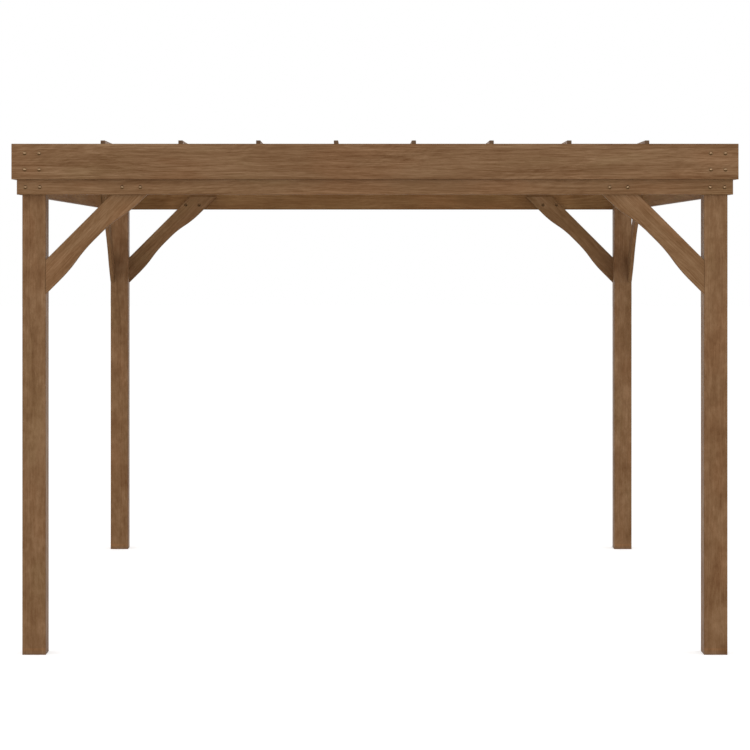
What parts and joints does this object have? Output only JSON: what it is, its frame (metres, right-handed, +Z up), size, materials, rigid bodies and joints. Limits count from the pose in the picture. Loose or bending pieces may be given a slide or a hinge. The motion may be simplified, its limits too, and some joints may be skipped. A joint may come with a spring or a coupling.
{
  "type": "wooden pergola",
  "caption": "Free-standing open timber pergola with square posts, a stepped double board ring, thin rafters laid front to back and curved knee braces.",
  "frame": {"origin": "on the ground at the middle of the plan, under the centre of the roof ring", "axes": "+Z up, +Y from the front to the back, +X to the right when facing the front"},
  "size_m": [3.08, 3.68, 2.187],
  "materials": {
    "post_timber": "brown stained, matt",
    "board_timber": "brown stained, matt",
    "brace_timber": "brown stained, matt",
    "rafter_timber": "brown stained, matt",
    "bolt_metal": "dull passivated yellow"
  },
  "bodies": {
    "root": {"fascia_back": "board_timber", "fascia_front": "board_timber", "fascia_left": "board_timber", "fascia_right": "board_timber", "knee_brace_back_left_across": "brace_timber", "knee_brace_back_left_side": "brace_timber", "knee_brace_back_right_across": "brace_timber", "knee_brace_back_right_side": "brace_timber", "knee_brace_front_left_across": "brace_timber", "knee_brace_front_left_side": "brace_timber", "knee_brace_front_right_across": "brace_timber", "knee_brace_front_right_side": "brace_timber", "post_back_left": "post_timber", "post_back_right": "post_timber", "post_front_left": "post_timber", "post_front_right": "post_timber", "rafter_1": "rafter_timber", "rafter_2": "rafter_timber", "rafter_3": "rafter_timber", "rafter_4": "rafter_timber", "rafter_5": "rafter_timber", "rafter_6": "rafter_timber", "rafter_7": "rafter_timber", "rafter_8": "rafter_timber", "ring_board_back": "board_timber", "ring_board_front": "board_timber", "ring_board_left": "board_timber", "ring_board_right": "board_timber"}
  },
  "joints": []
}
